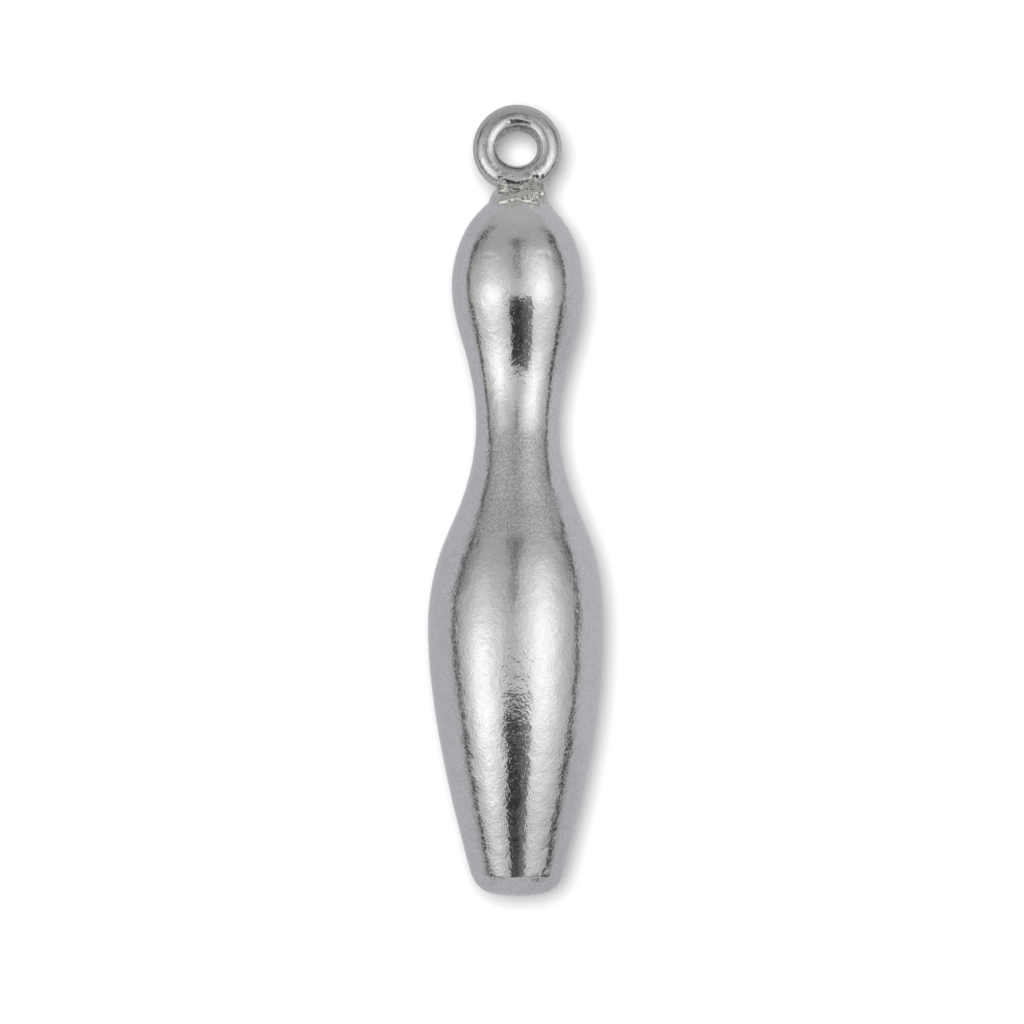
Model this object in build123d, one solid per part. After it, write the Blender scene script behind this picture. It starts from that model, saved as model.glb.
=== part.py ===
from build123d import *
import math
import os

# A bowling-pin charm: a solid cast pin, a wire ring on its head, and the solder between them.
# Millimetres. The origin is the centre of the ring's eye, +Z runs up the pin's axis to the ring,
# and +Y runs through the eye, so the pin hangs below the origin.

OVERALL_LENGTH = 25.0

# The ring: round wire closed on itself, with its eye reamed to a true circle.
RING_OUTER_R = 1.41
WIRE_R = 0.425
EYE_R = 0.58

# The pin's outline, as radii and heights above the base.
BASE_FLAT_R = 0.36
DOME_R, DOME_HEIGHT = 0.77, 0.078
HEEL_R, HEEL_HEIGHT = 1.17, 0.225
FACET_R, FACET_HEIGHT = 1.325, 0.41
RIM_R, RIM_HEIGHT = 1.443, 0.65
BELLY_R, BELLY_HEIGHT = 2.787, 8.58
SHOULDER_R, SHOULDER_HEIGHT = 2.40, 10.95
NECK_R, NECK_HEIGHT = 1.318, 14.88
THROAT_R, THROAT_HEIGHT = 1.60, 16.80
HEAD_R, HEAD_HEIGHT = 2.095, 19.15
CROWN_R, CROWN_HEIGHT = 1.66, 21.03
SEAT_R, SEAT_HEIGHT = 0.95, 21.87

# The outline leaves the rim at this slope and meets the seat at that one, and it runs
# straight up where the pin is widest or narrowest.
RIM_SLOPE = (0.28, 0, 1)
SEAT_SLOPE = (-1, 0, 0.741)
UPRIGHT = (0, 0, 1)

# The solder: a waisted drum on the seat, with the ring sunk into its top.
SOLDER_FOOT_R = 0.93
SOLDER_WAIST_R = 0.84
SOLDER_TOP_R = 0.62
SOLDER_THICKNESS = 0.58

BASE_Z = RING_OUTER_R - OVERALL_LENGTH


def on_outline(radius, height):
    """A point of a turned outline, from its radius and its height above the base."""
    return (radius, 0, BASE_Z + height)


def side_of_pin():
    """From the rim of the base over the belly, in to the neck, out to the head and in to the seat."""
    rim = on_outline(RIM_R, RIM_HEIGHT)
    belly = on_outline(BELLY_R, BELLY_HEIGHT)
    shoulder = on_outline(SHOULDER_R, SHOULDER_HEIGHT)
    neck = on_outline(NECK_R, NECK_HEIGHT)
    throat = on_outline(THROAT_R, THROAT_HEIGHT)
    head = on_outline(HEAD_R, HEAD_HEIGHT)
    crown = on_outline(CROWN_R, CROWN_HEIGHT)
    seat = on_outline(SEAT_R, SEAT_HEIGHT)
    return [
        Spline([rim, belly], tangents=[RIM_SLOPE, UPRIGHT]),
        Spline([belly, shoulder, neck], tangents=[UPRIGHT, UPRIGHT]),
        Spline([neck, throat, head], tangents=[UPRIGHT, UPRIGHT]),
        Spline([head, crown, seat], tangents=[UPRIGHT, SEAT_SLOPE]),
    ]


def make_pin_body():
    """The solid casting: a domed base with a small flat, its heel and rim, the side, the seat."""
    centre = on_outline(0, 0)
    base_flat = on_outline(BASE_FLAT_R, 0)
    dome = on_outline(DOME_R, DOME_HEIGHT)
    heel = on_outline(HEEL_R, HEEL_HEIGHT)
    facet = on_outline(FACET_R, FACET_HEIGHT)
    rim = on_outline(RIM_R, RIM_HEIGHT)
    seat = on_outline(SEAT_R, SEAT_HEIGHT)
    seat_centre = on_outline(0, SEAT_HEIGHT)
    outline = [
        Line(centre, base_flat),
        ThreePointArc(base_flat, dome, heel),
        ThreePointArc(heel, facet, rim),
        *side_of_pin(),
        Line(seat, seat_centre),
        Line(seat_centre, centre),
    ]
    return revolve(make_face(outline), Axis.Z)


def make_hanging_loop():
    """The wire ring, a torus about Y, with a short round land where its eye is reamed."""
    eye = Plane(origin=(0, 0, 0), x_dir=(1, 0, 0), z_dir=(0, 1, 0))
    wire = eye * Torus(RING_OUTER_R - WIRE_R, WIRE_R)
    reamer = eye * Cylinder(EYE_R, 4 * WIRE_R)
    return wire - reamer


def make_solder_joint(ring):
    """The solder: a waisted drum from the seat up around the bottom of the ring."""
    seat_centre = on_outline(0, SEAT_HEIGHT)
    foot = on_outline(SOLDER_FOOT_R, SEAT_HEIGHT)
    waist = on_outline(SOLDER_WAIST_R, SEAT_HEIGHT + SOLDER_THICKNESS / 2)
    top = on_outline(SOLDER_TOP_R, SEAT_HEIGHT + SOLDER_THICKNESS)
    top_centre = on_outline(0, SEAT_HEIGHT + SOLDER_THICKNESS)
    outline = [
        Line(seat_centre, foot),
        Spline([foot, waist, top], tangents=[(-1, 0, 1.5), (-1, 0, 0.4)]),
        Line(top, top_centre),
        Line(top_centre, seat_centre),
    ]
    return revolve(make_face(outline), Axis.Z) - ring


def land_length():
    """The length of the round land inside the eye, which the record's mount states."""
    return 2 * math.sqrt(WIRE_R**2 - (RING_OUTER_R - WIRE_R - EYE_R) ** 2)


os.makedirs("parts", exist_ok=True)

hanging_loop = make_hanging_loop()
pieces = {
    "pin_body": make_pin_body(),
    "hanging_loop": hanging_loop,
    "solder_joint": make_solder_joint(hanging_loop),
}
for node, piece in pieces.items():
    export_step(piece, f"parts/{node}.step")

print(f"land inside the eye: {land_length():.3f} mm long")
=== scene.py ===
import math
import bpy
import numpy as np
from mathutils import Matrix, Vector, noise


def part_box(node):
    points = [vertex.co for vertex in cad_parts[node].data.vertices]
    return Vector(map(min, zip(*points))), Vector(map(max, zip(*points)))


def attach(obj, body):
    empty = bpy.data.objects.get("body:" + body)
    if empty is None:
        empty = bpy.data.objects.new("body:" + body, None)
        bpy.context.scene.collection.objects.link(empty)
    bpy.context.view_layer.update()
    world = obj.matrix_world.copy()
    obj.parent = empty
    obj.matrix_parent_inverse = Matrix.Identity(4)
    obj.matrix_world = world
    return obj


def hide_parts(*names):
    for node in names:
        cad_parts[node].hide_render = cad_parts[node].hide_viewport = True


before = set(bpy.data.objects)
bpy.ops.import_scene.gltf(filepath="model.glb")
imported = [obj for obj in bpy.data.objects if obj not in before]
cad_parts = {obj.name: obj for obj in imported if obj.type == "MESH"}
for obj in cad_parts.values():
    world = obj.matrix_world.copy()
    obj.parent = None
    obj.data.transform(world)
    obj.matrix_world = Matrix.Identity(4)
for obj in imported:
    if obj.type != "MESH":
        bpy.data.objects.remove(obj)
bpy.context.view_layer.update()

# The charm hangs with its pin along Z and its ring's eye at the origin. Its front faces -Y.
# Lengths below are in millimetres, and MM turns them into the frame's metres.
MM = 0.001
pin_lo, pin_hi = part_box("pin_body")
ring_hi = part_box("hanging_loop")[1]
BASE_Z = pin_lo.z / MM
SEAT_Z = pin_hi.z / MM
PIN_HEIGHT = SEAT_Z - BASE_Z
BELLY_R = pin_hi.x / MM
RING_OUTER_R = ring_hi.z / MM
WIRE_R = ring_hi.y / MM
WIRE_CENTRE_R = RING_OUTER_R - WIRE_R
LENGTH = RING_OUTER_R - BASE_Z
MID_Z = (RING_OUTER_R + BASE_Z) / 2


# Helpers for shapes.


def ease(value, start, end):
    """0 before start, 1 after end, smooth between."""
    t = max(0.0, min(1.0, (value - start) / (end - start)))
    return t * t * (3 - 2 * t)


def bell_kernel(reach):
    """The weights of a bell curve that reaches so many samples to each side. They add up to 1."""
    weights = np.exp(-(np.linspace(-2.5, 2.5, 2 * reach + 1) ** 2) / 2)
    return weights / weights.sum()


def mark_height(mark, p):
    """How far one mark raises the skin at p. A mark is a bell-shaped bump, or a dent."""
    x, z, long_x, long_z, height = mark
    gap = ((p.x - x) / long_x) ** 2 + ((p.z - z) / long_z) ** 2
    return height * math.exp(-gap) if gap < 9 else 0.0


def turned_faces(around, rows):
    """Faces of a closed turned skin: a fan at the first point, bands of rows, a fan at the last."""
    last, tip = 1 + (rows - 1) * around, 1 + rows * around
    faces = []
    for k in range(around):
        faces.append((0, 1 + (k + 1) % around, 1 + k))
    for low in range(1, last, around):
        high = low + around
        for k in range(around):
            k1 = (k + 1) % around
            faces.append((low + k, low + k1, high + k1, high + k))
    for k in range(around):
        faces.append((last + k, last + (k + 1) % around, tip))
    return faces


def new_object(name, verts, faces, smooth=True):
    """A mesh object from vertices in millimetres."""
    mesh = bpy.data.meshes.new(name)
    mesh.from_pydata([Vector(v) * MM for v in verts], [], faces)
    mesh.validate()
    mesh.update()
    if smooth:
        mesh.shade_smooth()
    obj = bpy.data.objects.new(name, mesh)
    bpy.context.scene.collection.objects.link(obj)
    return obj


# The pin casting. Its mesh has this many points around it, up its side and out along its base, and
# these rings across the flat seat under the solder, as shares of the seat's radius.
AROUND = 330
ALONG_SIDE = 360
ALONG_BASE = 30
SEAT_RINGS = (0.75, 0.5, 0.25)

# The relief of the casting's skin fades out towards the axis inside this radius.
FADE_R = 0.5

HEAD_HEIGHT, HEAD_R = 19.15, 2.095
CROWN_HALF_HEIGHT = 3.05

# The side of the pin from its rim to the widest part of its head: (height above the base, radius,
# slope dr/dz, or None where the curve finds its own slope). Above it an ellipse rounds the crown.
OUTLINE = [
    (0.65, 1.450, 0.28),
    (4.44, 2.365, None),
    (8.58, BELLY_R, 0.0),
    (9.97, 2.662, None),
    (10.95, 2.412, None),
    (12.50, 1.783, None),
    (14.88, 1.318, 0.0),
    (16.80, 1.595, None),
    (HEAD_HEIGHT, HEAD_R, 0.0),
]

# The base: (radius, height) from its centre out over the dome and the heel. The rim comes next.
HEEL = [(0.0, 0.0), (0.40, 0.012), (0.80, 0.07), (1.06, 0.165), (1.22, 0.29), (1.34, 0.45)]

# How the hand-finished pin's centre line leaves its axis, towards +X: (height above the base, half
# length, push).
BOW = [(17.2, 1.9, 0.050), (12.0, 1.9, 0.035), (8.4, 2.3, -0.045)]

# How the front of the casting leans off the turned outline: (height above the base, slope), where
# a plus slope leans back towards the top.
FRONT_LEAN = [
    (0.0, 0.0), (7.0, 0.0),
    (9.0, -0.030), (11.0, -0.030), (11.6, -0.080), (12.6, -0.080), (13.3, 0.000),
    (13.9, 0.100), (14.3, 0.165), (14.7, 0.150), (15.0, 0.130), (16.4, 0.110), (17.2, 0.070),
    (17.9, 0.000), (18.5, -0.060), (19.5, -0.070), (20.4, -0.050), (21.87, -0.040),
]

# Small dents in the casting's front: (x, z, half length along x, half length along z, height),
# where a dent's height is negative.
NICKS = [
    (-0.99, -3.42, 0.16, 0.05, -0.010),
    (-0.70, -3.58, 0.10, 0.05, -0.008),
    (0.62, -3.36, 0.14, 0.04, -0.008),
    (0.90, -3.40, 0.06, 0.06, -0.014),
    (-0.10, -3.52, 0.05, 0.10, -0.008),
    (-1.83, -4.86, 0.04, 0.10, -0.012),
    (1.05, -2.95, 0.10, 0.07, -0.010),
    (0.60, -22.98, 0.10, 0.06, -0.012),
    (0.92, -22.86, 0.12, 0.09, -0.028),
    (1.25, -12.00, 0.12, 0.20, -0.022),
    (-1.30, -12.40, 0.06, 0.12, -0.008),
]


def hermite(z, a, b):
    """Radius at height z on the cubic between two outline stations with known slopes."""
    h = b[0] - a[0]
    t = (z - a[0]) / h
    return (
        (1 - 3 * t**2 + 2 * t**3) * a[1]
        + (t**3 - 2 * t**2 + t) * h * a[2]
        + (3 * t**2 - 2 * t**3) * b[1]
        + (t**3 - t**2) * h * b[2]
    )


def catmull(points, t):
    """A point of the smooth curve through the given points, t counted in points."""
    i = min(int(t), len(points) - 2)
    f = t - i
    p0 = points[max(i - 1, 0)]
    p1, p2 = points[i], points[i + 1]
    p3 = points[min(i + 2, len(points) - 1)]
    return 0.5 * (
        2 * p1 + (p2 - p0) * f + (2 * p0 - 5 * p1 + 4 * p2 - p3) * f**2
        + (3 * p1 - p0 - 3 * p2 + p3) * f**3
    )


def slopes_filled():
    """The outline with each missing slope set for the smoothest curve through its neighbours."""
    n = len(OUTLINE)
    z = np.array([s[0] for s in OUTLINE])
    r = np.array([s[1] for s in OUTLINE])
    m, rhs = np.zeros((n, n)), np.zeros(n)
    for i, (_, _, slope) in enumerate(OUTLINE):
        if slope is not None:
            m[i, i], rhs[i] = 1, slope
            continue
        h0, h1 = z[i] - z[i - 1], z[i + 1] - z[i]
        m[i, i - 1], m[i, i], m[i, i + 1] = 1 / h0, 2 / h0 + 2 / h1, 1 / h1
        rhs[i] = 3 * ((r[i] - r[i - 1]) / h0**2 + (r[i + 1] - r[i]) / h1**2)
    return list(zip(z, r, np.linalg.solve(m, rhs)))


def side_radius(heights):
    """The pin's radius at each height from the rim to the seat: cubic spans, then the crown."""
    stations = slopes_filled()
    out = np.empty(len(heights))
    for i, z in enumerate(heights):
        if z >= HEAD_HEIGHT:
            up = min(1.0, (z - HEAD_HEIGHT) / CROWN_HALF_HEIGHT)
            out[i] = HEAD_R * math.sqrt(1 - up**2)
            continue
        k = max(j for j in range(len(stations) - 1) if stations[j][0] <= z + 1e-9)
        out[i] = hermite(z, stations[k], stations[k + 1])
    return out


def outline_points():
    """(radius, height) over the base from its centre to the rim, and up the side to the seat.

    The side is smoothed a little, so that its curvature has no steps, and spaced evenly.
    """
    samples, reach = 4000, 120
    fine = np.linspace(OUTLINE[0][0], PIN_HEIGHT, samples)
    radius = side_radius(fine)
    low = 2 * radius[0] - radius[reach:0:-1]
    high = 2 * radius[-1] - radius[-2:-reach - 2:-1]
    radius = np.convolve(np.concatenate([low, radius, high]), bell_kernel(reach), "valid")
    run = np.concatenate([[0], np.cumsum(np.hypot(np.diff(fine), np.diff(radius)))])
    even = np.linspace(0, run[-1], ALONG_SIDE)
    side = np.column_stack([np.interp(even, run, radius), np.interp(even, run, fine)])
    heel = np.array([*HEEL, tuple(side[0])])
    base = np.array([catmull(heel, t) for t in np.linspace(0, len(heel) - 1, ALONG_BASE)])
    return base, side


def bow(h):
    """How far the pin's centre line is pushed towards +X at h above the base."""
    return sum(push * math.exp(-(((h - at) / half) ** 2)) for at, half, push in BOW)


def ridge(h):
    """How far the head's front is pushed towards +X at h above the base, as a share of the radius."""
    return 0.034 * ease(h, 15.2, 16.8) * (1 - ease(h, 20.9, 21.8))


def front_offset():
    """The front's lean added up: heights above the base, and how far back the front lies at each."""
    samples, reach = 1500, 20
    heights = np.linspace(0, PIN_HEIGHT, samples)
    slope = np.interp(heights, *zip(*FRONT_LEAN))
    slope = np.convolve(slope, bell_kernel(reach), "same")
    return heights, np.cumsum(slope) * (heights[1] - heights[0])


def cast_relief(p, h):
    """How far the skin stands out at p: a slow waver, dimples, and knocks on the heel."""
    waver = 0.008 * noise.noise(p * 0.9 + Vector((3, 1, 7)))
    dimples = 0.0050 * noise.noise(p * 2.2) + 0.0026 * noise.noise(p * 4.6 + Vector((9, 2, 4)))
    knocks = 0.010 * noise.noise(p * 3.1) + 0.006 * noise.noise(p * 7.0)
    return waver + dimples + knocks * (1 - ease(h, 0.45, 0.95))


def make_pin():
    """The casting as one closed turned skin, with its hand-finished waver, dimples and dents."""
    base, side = outline_points()
    seat_r, seat_h = side[-1]
    rows = [*base[1:], *side[1:], *((seat_r * share, seat_h) for share in SEAT_RINGS)]
    heights, offsets = front_offset()
    verts = [(0.0, 0.0, BASE_Z)]
    for r, h in rows:
        back = float(np.interp(h, heights, offsets))
        for k in range(AROUND):
            a = 2 * math.pi * k / AROUND
            out = Vector((math.cos(a), math.sin(a), 0))
            p = Vector((r * math.cos(a), r * math.sin(a), BASE_Z + h))
            p.y += back * max(0.0, -out.y)
            p += out * cast_relief(p, h) * min(1.0, r / FADE_R)
            if out.y < 0:
                for nick in NICKS:
                    p += out * mark_height(nick, p)
            p.x += bow(h) + ridge(h) * r * ease(-out.y, 0.60, 0.97)
            verts.append(p)
    verts.append((0.0, 0.0, SEAT_Z))
    return new_object("pin_casting", verts, turned_faces(AROUND, len(rows)))


# The wire ring. Its mesh has this many points around the ring and around the wire.
RING_AROUND, RING_ACROSS = 320, 112

# The ring's top leans back by this angle, as it was soldered.
RING_LEAN = math.radians(6.0)

# Marks of the making on the ring's front: (x, z, half length along x, half length along z,
# height), where a negative height is a dent.
RING_MARKS = [
    (0.45, -0.77, 0.060, 0.100, 0.020),
    (0.66, -0.93, 0.040, 0.080, 0.014),
    (-0.46, -0.98, 0.100, 0.035, -0.010),
    (-0.20, -0.93, 0.090, 0.030, -0.008),
    (-0.62, -0.80, 0.060, 0.050, 0.006),
    (-0.22, 0.815, 0.060, 0.035, -0.016),
    (-0.06, 0.815, 0.100, 0.014, -0.008),
    (-1.02, 0.06, 0.050, 0.080, -0.008),
    (-0.74, -0.60, 0.050, 0.040, -0.007),
    (0.98, 0.62, 0.060, 0.110, 0.005),
    (-0.86, 0.52, 0.080, 0.080, 0.005),
]

# Specks of burnt flux on the ring's front: (x, z, half length along x, half length along z).
FLUX = [
    (0.59, -0.885, 0.125, 0.065),
    (0.80, -0.885, 0.060, 0.095),
    (-0.40, -0.985, 0.110, 0.030),
    (-0.19, 0.815, 0.045, 0.035),
]


def eye_radius(a):
    """The eye's radius at an angle from its top. The eye is a little wider than it is high."""
    return 0.588 - 0.040 * math.cos(2 * a)


def bevel_radius(a):
    """How far out the eye's worn edge reaches. It is widest at the upper right."""
    return eye_radius(a) + 0.125 + 0.055 * math.cos(a - math.radians(50))


def ring_relief(p):
    """How far the wire's skin stands out at p: a waver, grain that coarsens down towards the
    solder, and the marks on its front."""
    low = ease(-p.z, -0.2, 1.0)
    relief = 0.006 * noise.noise(p * 1.6) + 0.003 * noise.noise(p * 4.5 + Vector((5, 8, 1)))
    relief += (0.0012 + 0.004 * low) * noise.noise(p * 7.0 + Vector((2, 6, 3)))
    relief += 0.003 * low * noise.noise(Vector((p.x * 16, p.y * 4, p.z * 4)))
    if p.y < 0:
        for mark in RING_MARKS:
            relief += mark_height(mark, p)
    return relief


def make_ring():
    """The wire ring: round wire bent to a circle, its eye opened out by a reamer from both faces."""
    lean_back = Matrix.Rotation(-RING_LEAN, 3, "X")
    verts = []
    for i in range(RING_AROUND):
        a = 2 * math.pi * i / RING_AROUND
        radial = Vector((math.sin(a), 0, math.cos(a)))
        inner, outer = eye_radius(a), bevel_radius(a)
        depth = math.sqrt(WIRE_R**2 - (WIRE_CENTRE_R - outer) ** 2)
        for j in range(RING_ACROSS):
            b = 2 * math.pi * j / RING_ACROSS
            r = WIRE_CENTRE_R + WIRE_R * math.cos(b)
            y = WIRE_R * math.sin(b)
            if abs(y) < depth:
                r = max(r, inner + (outer - inner) * (abs(y) / depth) ** 1.3)
            p = radial * r + Vector((0, y, 0))
            away = radial * math.cos(b) + Vector((0, math.sin(b), 0))
            verts.append(lean_back @ (p + away * ring_relief(p)))
    faces = []
    for i in range(RING_AROUND):
        here, there = i * RING_ACROSS, (i + 1) % RING_AROUND * RING_ACROSS
        for j in range(RING_ACROSS):
            j1 = (j + 1) % RING_ACROSS
            faces.append((here + j, here + j1, there + j1, there + j))
    return new_object("wire_ring", verts, faces)


# The solder bead. Bearings are in degrees around Z from +X, so the front is at 270. Its mesh has
# this many points around it and rows up it, and its foot is sunk into the casting.
BEAD_AROUND, BEAD_ROWS = 220, 90
BEAD_FOOT_Z = SEAT_Z - 0.16

# Runs of solder on the front of the bead: (from x, z; to x, z; half width; height), where a
# negative height is a pit.
RUNS = [
    ((0.54, -1.10), (0.56, -1.38), 0.065, 0.090),
    ((0.86, -1.08), (0.86, -1.26), 0.070, 0.070),
    ((0.72, -1.36), (0.82, -1.44), 0.110, 0.090),
    ((0.54, -1.66), (0.68, -1.72), 0.065, 0.050),
    ((-0.58, -1.36), (-0.24, -1.43), 0.060, 0.055),
    ((-0.58, -1.70), (-0.22, -1.63), 0.075, 0.080),
    ((-0.16, -1.52), (0.34, -1.60), 0.080, 0.030),
    ((0.70, -1.10), (0.71, -1.24), 0.050, -0.060),
]


def wire_reach(c, s, z):
    """How far from the axis the wire's surface is, towards (c, s) at height z. 0 where there's none.

    It is found by stepping in from outside the ring.
    """
    outside, step = 1.6, 0.01
    cos_lean, sin_lean = math.cos(RING_LEAN), math.sin(RING_LEAN)
    r = outside
    while r > 0:
        x, y = r * c, r * s
        along = z * cos_lean + y * sin_lean
        across = y * cos_lean - z * sin_lean
        if (math.hypot(x, along) - WIRE_CENTRE_R) ** 2 + across**2 < WIRE_R**2:
            return r
        r -= step
    return 0.0


def at_bearing(a, bearing, half):
    """1 where the angle a points at the bearing, and a bell curve to both sides of it."""
    gap = (math.degrees(a) - bearing + 180) % 360 - 180
    return math.exp(-((gap / half) ** 2))


def runs_height(x, z):
    """How far the runs raise the bead's front at (x, z)."""
    total = 0.0
    for (x0, z0), (x1, z1), half, height in RUNS:
        dx, dz = x1 - x0, z1 - z0
        t = max(0.0, min(1.0, ((x - x0) * dx + (z - z0) * dz) / (dx * dx + dz * dz)))
        gap2 = (x - x0 - t * dx) ** 2 + (z - z0 - t * dz) ** 2
        total += height * math.exp(-gap2 / half**2)
    return total


def bead_top(a):
    """Height of the bead's upper edge: it climbs the wire on the right and dips at the front."""
    c, s = math.cos(a), math.sin(a)
    climb = 0.20 * at_bearing(a, 308, 20) - 0.11 * at_bearing(a, 274, 24)
    wobble = 0.05 * noise.noise(Vector((c * 2.5, s * 2.5, 4)))
    return SEAT_Z + 0.66 + 0.10 * c + climb + wobble


def bead_radius(a, z, tuck):
    """The bead without its relief: flared sides, a front that leans back, and a corner between.

    Tuck is how far back the front of the seat lies, which the bead's front follows.
    """
    c, s = math.cos(a), math.sin(a)
    up = z - SEAT_Z
    corner = at_bearing(a, 314, 22)
    side = 0.83 + 0.11 * c + (0.10 - 0.07 * c) * (1 - ease(up, 0.06, 0.50))
    front = 0.93 - 0.46 * ease(up, 0.12 + 0.26 * corner, 0.64 + 0.16 * corner)
    r = (front + (side - front) * c * c) * (1 + 0.09 * corner * ease(up, -0.04, 0.14))
    r -= tuck * max(0.0, -s) * (1 - ease(up, 0.02, 0.62))
    return r + 0.16 * max(0.0, 1 - (z - BEAD_FOOT_Z) / 0.30) ** 2


def bead_relief(a, r, z):
    """The bead's lumps, the folds at its front right, and its runs, which are fainter behind."""
    s = math.sin(a)
    p = Vector((r * math.cos(a), r * s, z))
    lumps = 0.035 * noise.noise(p * 2.6 + Vector((1, 4, 2))) + 0.008 * noise.noise(p * 6.0)
    folds = noise.noise(Vector((p.x * 9.0, 3.0, z * 2.2)))
    folds += 0.5 * noise.noise(Vector((p.x * 4.0, 8.0, z * 9.0)))
    folds *= 0.105 * at_bearing(a, 304, 24) * ease(z - SEAT_Z, 0.0, 0.16) * ease(-s, 0.0, 0.3)
    run_x = p.x if s < 0 else 0.14 - p.x
    share = min(1.0, abs(s) * 2.2) * (1.0 if s < 0 else 0.4)
    return lumps + folds + runs_height(run_x, z) * share


def make_solder():
    """The solder bead: a flared foot on the head, a rough waist, and a lip that climbs the wire."""
    tuck = front_offset()[1][-1]
    # The skin's first and last points are hidden, inside the casting and inside the wire.
    verts = [Vector((0.1, 0, BEAD_FOOT_Z))]
    for j in range(BEAD_ROWS):
        t = j / (BEAD_ROWS - 1)
        for k in range(BEAD_AROUND):
            a = 2 * math.pi * k / BEAD_AROUND
            c, s = math.cos(a), math.sin(a)
            z = BEAD_FOOT_Z + (bead_top(a) - BEAD_FOOT_Z) * t
            r = bead_radius(a, z, tuck)
            r += bead_relief(a, r, z)
            wire = wire_reach(c, s, z)
            # The bead covers the wire thinly, and its lip closes into it.
            if wire > 0:
                r = max(r, wire + 0.035 * (1 - t**6))
                r += (wire - 0.04 - r) * ease(t, 0.72, 1.0)
            verts.append(Vector((r * c, r * s, z)))
    verts.append(Vector((0.05, 0, SEAT_Z + 0.60)))
    return new_object("solder_bead", verts, turned_faces(BEAD_AROUND, BEAD_ROWS))


# Materials.


class Nodes:
    """A short way to write shader graphs. Apart from add, methods return the sockets of their result."""

    def __init__(self, tree):
        self.tree = tree
        tree.nodes.clear()

    def add(self, kind, inputs=None, **settings):
        """A new node, with its inputs linked or set."""
        node = self.tree.nodes.new(kind)
        for key, value in settings.items():
            setattr(node, key, value)
        for key, value in (inputs or {}).items():
            if isinstance(value, bpy.types.NodeSocket):
                self.tree.links.new(value, node.inputs[key])
            else:
                node.inputs[key].default_value = value
        return node

    def math(self, operation, a, b=0.0):
        return self.add("ShaderNodeMath", {0: a, 1: b}, operation=operation).outputs[0]

    def total(self, first, *others):
        for other in others:
            first = self.math("ADD", first, other)
        return first

    def product(self, first, *others):
        for other in others:
            first = self.math("MULTIPLY", first, other)
        return first

    def largest(self, first, *others):
        for other in others:
            first = self.math("MAXIMUM", first, other)
        return first

    def less(self, value, mask, share=1.0):
        """The value, with a share of it taken away where the mask is 1."""
        return self.product(value, self.math("SUBTRACT", 1.0, self.product(mask, share)))

    def split(self, vector):
        """The x, y and z of a vector."""
        return self.add("ShaderNodeSeparateXYZ", {"Vector": vector}).outputs

    def noise(self, coords, scale, detail, distortion=0.0):
        inputs = {"Vector": coords, "Scale": scale, "Detail": detail, "Distortion": distortion}
        return self.add("ShaderNodeTexNoise", inputs).outputs["Fac"]

    def mix(self, factor, start, end):
        """The colour start where the factor is 0, and the colour end where it is 1."""
        inputs = {"Factor": factor, 6: start, 7: end}
        return self.add("ShaderNodeMix", inputs, data_type="RGBA").outputs[2]

    def between(self, value, low, high, start, end):
        """From start where the value is low to end where it is high, in a straight line."""
        inputs = {"Value": value, "From Min": low, "From Max": high, "To Min": start, "To Max": end}
        return self.add("ShaderNodeMapRange", inputs).outputs["Result"]

    def smooth(self, value, start, end):
        """0 before start, 1 after end, smooth between. The start may be the larger one."""
        rising = start < end
        inputs = {
            "Value": value, "From Min": min(start, end), "From Max": max(start, end),
            "To Min": 0.0 if rising else 1.0, "To Max": 1.0 if rising else 0.0,
        }
        node = self.add("ShaderNodeMapRange", inputs, interpolation_type="SMOOTHSTEP")
        return node.outputs["Result"]

    def bell(self, value, centre, half_width):
        """1 at the centre, 1/e at half_width either side."""
        off = self.math("DIVIDE", self.math("SUBTRACT", value, centre), half_width)
        return self.math("EXPONENT", self.product(off, off, -1.0))

    def band(self, value, low, high, soft):
        """1 between low and high, with soft edges."""
        up = self.smooth(value, low - soft, low + soft)
        down = self.smooth(value, high - soft, high + soft)
        return self.math("SUBTRACT", up, down)


def grey(value):
    return (value, value, value, 1)


def speckled(g, fleck, dark, light):
    """A colour that runs from dark to light with the grain."""
    return g.mix(g.smooth(fleck, 0.32, 0.68), dark, light)


# The silver's grain, as cells to the metre: faint clouds, patches and flecks in its colour, and
# the ripple and pebbles of its surface. The ripple is calmer from the neck up.
CLOUDS, PATCHES, FLECKS = 900.0, 4500.0, 15000.0
RIPPLES, PEBBLES = 5500.0, 12000.0
CALM_FROM_Z, CALM_TO_Z, CALM_SHARE = -8.6, -6.6, 0.38


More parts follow.
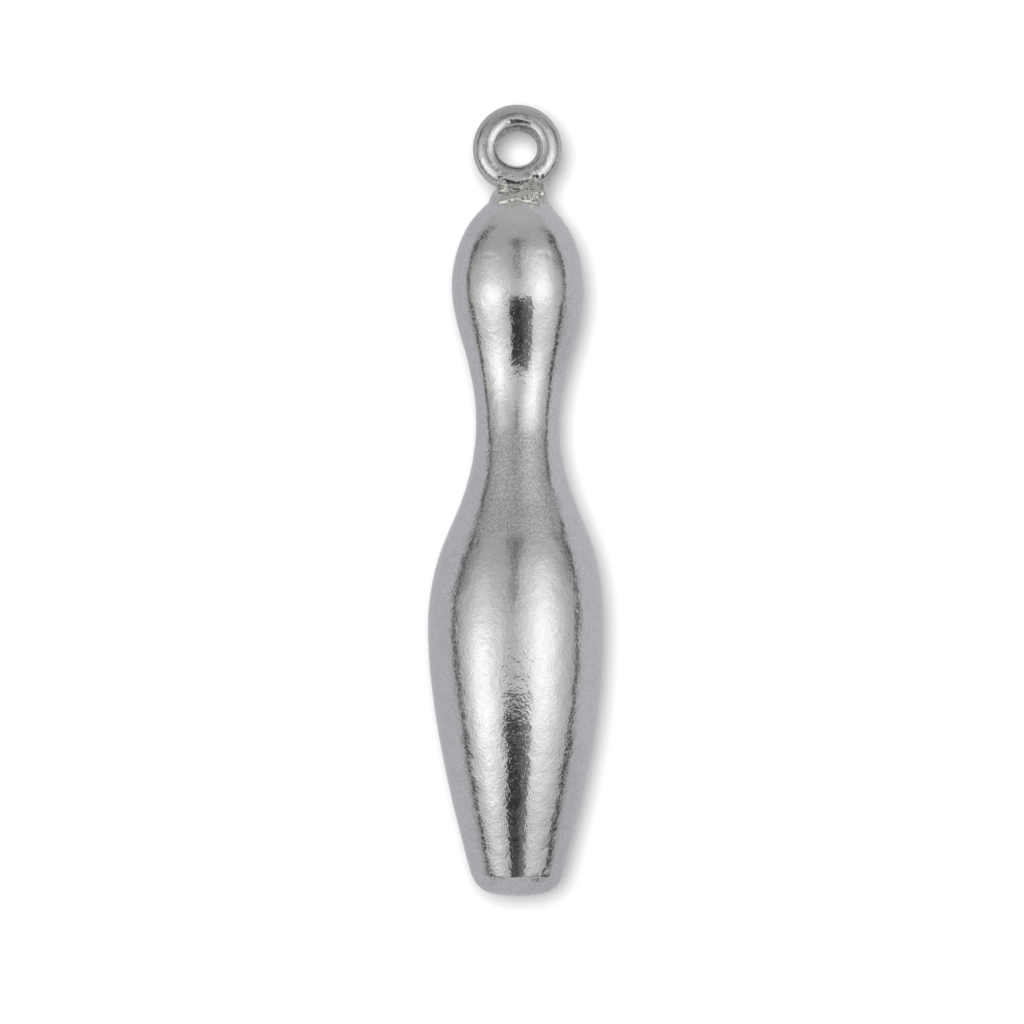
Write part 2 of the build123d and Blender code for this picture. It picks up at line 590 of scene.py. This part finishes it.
def silver(name, tint, roughness, ripple, pebble, speckle, flank_shade, dull_skin_and_shade=None):
    """Polished silver: faint changes of colour and roughness over a fine grain in the surface.

    Ripple and pebble are the heights of the grain. Speckle is how much the colour darkens in
    places. The flank shade is painted shade: how much more the colour darkens, in specks, on the
    flanks, which face neither front nor back. The optional function of the place for a duller skin
    returns (mask, colour, roughness), where the mask says how much the metal is covered by that
    duller skin. On the ring that skin is partly painted shade.
    """
    mat = bpy.data.materials.new(name)
    mat.use_nodes = True
    g = Nodes(mat.node_tree)
    coords = g.add("ShaderNodeTexCoord").outputs["Object"]
    place = [g.math("DIVIDE", axis, MM) for axis in g.split(coords)]
    cloud = g.noise(coords, CLOUDS, 3.0)
    fleck = g.noise(coords, FLECKS, 1.0)
    patch = g.noise(coords, PATCHES, 1.0)

    shade = g.total(g.product(cloud, 0.20), g.product(fleck, 0.50), g.product(patch, 0.30))
    shadow_tint = [channel * (1 - speckle) for channel in tint]
    colour = g.mix(g.smooth(shade, 0.30, 0.70), (*shadow_tint, 1), (*tint, 1))
    normal = g.add("ShaderNodeNewGeometry").outputs["Normal"]
    facing = g.math("ABSOLUTE", g.split(normal)[1])
    # Painted shade: dark specks on the flanks, which face neither front nor back.
    painted_flank_shade = g.product(g.smooth(facing, 0.78, 0.62), g.smooth(fleck, 0.62, 0.38), flank_shade)
    colour = g.mix(painted_flank_shade, colour, grey(0.1))
    rough = g.between(cloud, 0.0, 1.0, roughness * 0.8, roughness * 1.3)
    if dull_skin_and_shade:
        # On the ring, the duller skin's colour is partly painted shade.
        mask, dull_and_shaded_colour, dull_roughness = dull_skin_and_shade(g, place, fleck)
        ragged = g.product(mask, g.total(g.product(fleck, 0.8), 0.6))
        ragged = g.math("MINIMUM", ragged, 1.0)
        colour = g.mix(ragged, colour, dull_and_shaded_colour)
        rough = g.add("ShaderNodeMix", {"Factor": ragged, 2: rough, 3: dull_roughness}).outputs[0]

    calm = g.less(1.0, g.smooth(place[2], CALM_FROM_Z, CALM_TO_Z), CALM_SHARE)
    wide = g.add("ShaderNodeBump", {
        "Height": g.noise(coords, RIPPLES, 1.0, 0.8), "Strength": calm, "Distance": ripple * MM,
    })
    fine = g.add("ShaderNodeBump", {
        "Height": g.smooth(g.noise(coords, PEBBLES, 1.0), 0.50, 0.78), "Strength": 1.0,
        "Distance": pebble * MM, "Normal": wide.outputs["Normal"],
    })
    shader = g.add("ShaderNodeBsdfPrincipled", {
        "Base Color": colour, "Metallic": 1.0, "Roughness": rough, "Normal": fine.outputs["Normal"],
    })
    g.add("ShaderNodeOutputMaterial", {"Surface": shader.outputs[0]})
    return mat


def neck_tarnish(g, place, fleck):
    """The pin's matte skin: in the hollow of its front, where the polish is worn, and on its base.

    The hollow's patch runs from the shoulder up to the narrowest part of the neck. It widens
    downwards and has a lobe at its lower right.
    """
    x, y, z = place
    height = g.math("SUBTRACT", z, BASE_Z)
    aside = g.math("ABSOLUTE", g.math("SUBTRACT", x, 0.03))
    below = g.largest(g.math("SUBTRACT", 14.5, height), 0.0)
    right_lobe = g.product(g.bell(height, 12.35, 0.45), g.smooth(x, 0.0, 0.5), 0.30)
    reach = g.total(g.product(below, below, 0.06), 0.80, right_lobe)
    across = g.smooth(g.math("SUBTRACT", reach, aside), -0.10, 0.12)
    along = g.math("SUBTRACT", g.smooth(height, 11.15, 11.55), g.smooth(height, 14.42, 14.92))
    hollow = g.product(across, along, g.smooth(y, 0.0, -0.6))
    base = g.product(g.smooth(height, 0.64, 0.50), 0.36)
    return g.largest(hollow, base), speckled(g, fleck, grey(0.66), grey(0.98)), 0.38


def eye_tarnish_and_shade(g, place, fleck):
    """The ring's dull skin and painted shade: painted shade on the wall of its eye; a dull skin over
    its top and rim that is also painted shade, darkened and tinted to cancel the table's lilac
    that they mirror; a paler patch below its eye; and specks of burnt flux."""
    x, y, z = place
    out = g.math("SQRT", g.total(g.product(x, x), g.product(z, z)))
    eye = g.smooth(out, 0.80, 0.72)
    # The dull skin over the top and the rim is partly painted shade: it darkens them.
    haze_and_shade = g.product(g.smooth(out, 1.00, 1.14), g.smooth(z, -0.2, 0.9), 0.75)
    rim = g.product(g.smooth(out, 1.29, 1.36), 0.60)
    bottom = g.product(g.bell(x, -0.05, 0.42), g.band(z, -1.00, -0.75, 0.05))
    burnt = 0.0
    for at_x, at_z, long_x, long_z in FLUX:
        burnt = g.largest(burnt, g.product(g.bell(x, at_x, long_x), g.bell(z, at_z, long_z)))
    ragged = g.total(g.product(burnt, 1.2), g.math("SUBTRACT", fleck, 0.5))
    burnt = g.product(g.smooth(ragged, 0.45, 0.75), g.smooth(y, -0.20, -0.26))

    # Painted shade: the wall of the eye is darkened.
    wall = speckled(g, fleck, (0.34, 0.335, 0.32, 1), (0.74, 0.73, 0.70, 1))
    # Painted shade: the top and the rim are darkened, and tinted to cancel the table's lilac that they
    # mirror.
    film_and_shade = speckled(g, fleck, (0.64, 0.655, 0.62, 1), (0.77, 0.78, 0.745, 1))
    colour = g.mix(eye, film_and_shade, wall)
    colour = g.mix(bottom, colour, speckled(g, fleck, grey(0.84), grey(0.99)))
    colour = g.mix(burnt, colour, (0.15, 0.147, 0.143, 1))
    roughness = g.total(g.product(bottom, 0.18), 0.20)
    return g.largest(eye, haze_and_shade, rim, burnt, bottom), colour, roughness


# What the silver mirrors. Directions are told by turn (degrees, 0 towards the camera, + to its
# right), by rise (degrees above the horizon) and by lift (degrees off the table, towards the camera).

# The softboxes and their glow on the walls: (turn, half width, rise, half height, strength).
GLOWS = [
    (-46.0, 21.0, -13.0, 17.0, 0.70),
    (-48.0, 22.0, 14.5, 9.5, 0.16),
    (-20.0, 10.0, -4.0, 13.0, 0.12),
    (35.0, 27.0, -6.0, 23.0, 0.65),
    (36.0, 26.0, 20.0, 9.5, 0.16),
]
WALL_LIGHT, CEILING_LIGHT = 0.355, 0.045

# The table as the silver mirrors it: to the left, to the right, and straight behind the charm.
TABLE_LEFT = (0.434, 0.427, 0.464, 1)
TABLE_RIGHT = (0.462, 0.455, 0.490, 1)
TABLE_BEHIND = (0.60, 0.59, 0.615, 1)
STUDIO_STRENGTH = 1.06


def room_light(g, turn, rise, lift):
    """The brightness of everything but the table."""
    room = WALL_LIGHT
    for turn_at, turn_half, rise_at, rise_half, strength in GLOWS:
        spot = g.product(g.bell(turn, turn_at, turn_half), g.bell(rise, rise_at, rise_half), strength)
        room = g.total(room, spot)
    room = g.total(room, g.product(g.smooth(rise, 45.0, 70.0), CEILING_LIGHT))

    # A dark wedge between the softboxes, wider and darker towards the ceiling.
    wedge_half = g.total(g.product(g.smooth(rise, 26.0, 40.0), 14.0), 6.5)
    wedge_depth = g.total(g.product(g.smooth(rise, 20.0, 32.0), 0.15), 0.41)
    wedge = g.product(g.bell(turn, -4.0, wedge_half), g.band(rise, 5.0, 41.5, 2.5))
    room = g.less(room, wedge, wedge_depth)

    # Dim corners to both sides.
    corners = g.bell(g.math("ABSOLUTE", turn), 80.0, 12.0)
    room = g.less(room, g.product(corners, g.band(rise, 12.0, 39.0, 5.0)), 0.32)

    # The dark gap along the table's edge. It is wider at the lower right.
    sag = g.math("SUBTRACT", rise, 8.0)
    gap_lift = g.total(g.product(sag, sag, 0.0075), 0.6)
    low_right = g.product(g.smooth(turn, 0.0, 60.0), g.smooth(rise, -8.0, -22.0))
    gap_half = g.total(g.product(low_right, 1.2), 3.8)
    gap = g.product(g.bell(lift, gap_lift, gap_half), g.smooth(rise, 53.0, 42.0))
    room = g.less(room, gap, g.between(rise, 0.0, -22.0, 0.75, 0.95))

    # The camera's dark shape, lighter to its right, at its top and at its bottom.
    shape = g.product(g.band(turn, -18.5, 19.0, 1.5), g.band(rise, -48.0, -14.5, 1.5))
    inside = g.total(
        g.product(g.smooth(turn, -2.0, 19.0), 0.14), 0.031,
        g.product(g.smooth(rise, -28.5, -33.0), 0.04),
        g.product(g.smooth(rise, -25.5, -19.0), 0.04),
    )
    return g.total(g.less(room, shape), g.product(shape, inside))


def table_colour(g, turn, rise):
    """The table's colour. It is dimmer at the lower right."""
    right = g.smooth(turn, -60.0, 60.0)
    behind = g.product(g.bell(g.math("ABSOLUTE", turn), 180.0, 17.0), g.bell(rise, 8.0, 30.0))
    colour = g.mix(behind, g.mix(right, TABLE_LEFT, TABLE_RIGHT), TABLE_BEHIND)
    return g.mix(g.product(right, g.smooth(rise, -9.0, -16.0), 0.10), colour, grey(0.0))


def make_studio():
    """A world that the silver mirrors and that gives no other light. The camera sees it white."""
    world = bpy.data.worlds.new("studio")
    bpy.context.scene.world = world
    world.use_nodes = True
    g = Nodes(world.node_tree)
    x, y, z = g.split(g.add("ShaderNodeTexCoord").outputs["Generated"])
    forward = g.product(y, -1.0)
    degrees = 180 / math.pi
    turn = g.product(g.math("ARCTAN2", x, forward), degrees)
    rise = g.product(g.math("ARCSINE", z), degrees)
    lift = g.product(g.math("ARCSINE", forward), degrees)

    room = room_light(g, turn, rise, lift)
    room = g.add("ShaderNodeCombineColor", {"Red": room, "Green": room, "Blue": room}).outputs[0]
    on_table = g.largest(g.smooth(lift, -2.0, -10.0), g.smooth(rise, -46.0, -54.0))
    mirrored = g.mix(on_table, room, table_colour(g, turn, rise))
    seen = g.add("ShaderNodeLightPath").outputs["Is Camera Ray"]
    colour = g.mix(seen, mirrored, grey(1.0))
    background = g.add("ShaderNodeBackground", {"Color": colour, "Strength": STUDIO_STRENGTH})
    g.add("ShaderNodeOutputWorld", {"Surface": background.outputs[0]})
    world.cycles_visibility.diffuse = False


# The stage: the card behind the charm, the lamp and the camera. The lamp's distance, diameter and
# power are in metres and watts, and it stands to the left and up by a share of its distance.
CARD_GAP = 0.02
CARD_HALF = 26.0
LAMP_DISTANCE = 0.6
LAMP_DIAMETER = 0.203
LAMP_POWER = 5.17
LAMP_ASIDE = 0.0566
LENS, SENSOR = 280, 36
VIEW_WIDTH = LENGTH * 1.294
AIM_X, AIM_Z = -0.17, MID_Z - 0.38


def make_table():
    """The pale card behind the charm. It shows only from its front, and not in the silver."""
    y = BELLY_R + CARD_GAP
    low, high = MID_Z - CARD_HALF, MID_Z + CARD_HALF
    verts = [(-CARD_HALF, y, low), (CARD_HALF, y, low), (CARD_HALF, y, high), (-CARD_HALF, y, high)]
    table = new_object("pale_table", verts, [(0, 1, 2, 3)], smooth=False)
    mat = bpy.data.materials.new("pale_table")
    mat.use_nodes = True
    g = Nodes(mat.node_tree)
    paper = g.add("ShaderNodeBsdfDiffuse", {"Color": grey(0.60)}).outputs[0]
    fill = g.add("ShaderNodeEmission", {"Color": grey(1.0), "Strength": 0.20}).outputs[0]
    front = g.add("ShaderNodeAddShader", {0: paper, 1: fill}).outputs[0]
    back = g.add("ShaderNodeBsdfTransparent").outputs[0]
    side = g.add("ShaderNodeNewGeometry").outputs["Backfacing"]
    both = g.add("ShaderNodeMixShader", {0: side, 1: front, 2: back}).outputs[0]
    g.add("ShaderNodeOutputMaterial", {"Surface": both})
    table.data.materials.append(mat)
    table.visible_glossy = False


def make_key_light():
    """A broad soft lamp near the camera, a little up and to the left, for the card's soft shadow."""
    data = bpy.data.lights.new("key", "AREA")
    data.shape = "DISK"
    data.size = LAMP_DIAMETER
    data.energy = LAMP_POWER
    key = bpy.data.objects.new("key", data)
    bpy.context.scene.collection.objects.link(key)
    middle = Vector((0, 0, MID_Z)) * MM
    key.location = middle + Vector((-LAMP_ASIDE, -1, LAMP_ASIDE)) * LAMP_DISTANCE
    key.rotation_euler = (middle - key.location).to_track_quat("-Z", "Y").to_euler()
    key.visible_camera = False
    key.visible_glossy = False


def make_camera():
    """Straight on to the charm's front, with a long lens."""
    data = bpy.data.cameras.new("camera")
    data.lens = LENS
    data.sensor_width = SENSOR
    data.clip_start, data.clip_end = 0.005, 5.0
    camera = bpy.data.objects.new("camera", data)
    bpy.context.scene.collection.objects.link(camera)
    distance = VIEW_WIDTH * LENS / SENSOR
    camera.location = Vector((AIM_X, -distance, AIM_Z)) * MM
    camera.rotation_euler = (math.radians(90), 0, 0)
    bpy.context.scene.camera = camera


cast_silver = silver(
    "cast_silver", tint=(0.96, 0.955, 0.945), roughness=0.10, ripple=0.0056, pebble=0.0022,
    speckle=0.11, flank_shade=0.09, dull_skin_and_shade=neck_tarnish,
)
silver_wire = silver(
    "silver_wire", tint=(0.95, 0.945, 0.935), roughness=0.10, ripple=0.0030, pebble=0.0018,
    speckle=0.12, flank_shade=0.08, dull_skin_and_shade=eye_tarnish_and_shade,
)
silver_solder = silver(
    "silver_solder", tint=(0.92, 0.91, 0.86), roughness=0.14, ripple=0.002, pebble=0.001,
    speckle=0.20, flank_shade=0.05,
)
for piece, node, slot, material in (
    (make_pin(), "pin_body", "cast_silver", cast_silver),
    (make_ring(), "hanging_loop", "silver_wire", silver_wire),
    (make_solder(), "solder_joint", "silver_solder", silver_solder),
):
    piece.data.materials.append(material)
    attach(piece, "root")
    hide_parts(node)

make_table()
make_key_light()
make_studio()
make_camera()
bpy.context.scene.view_settings.view_transform = "Standard"
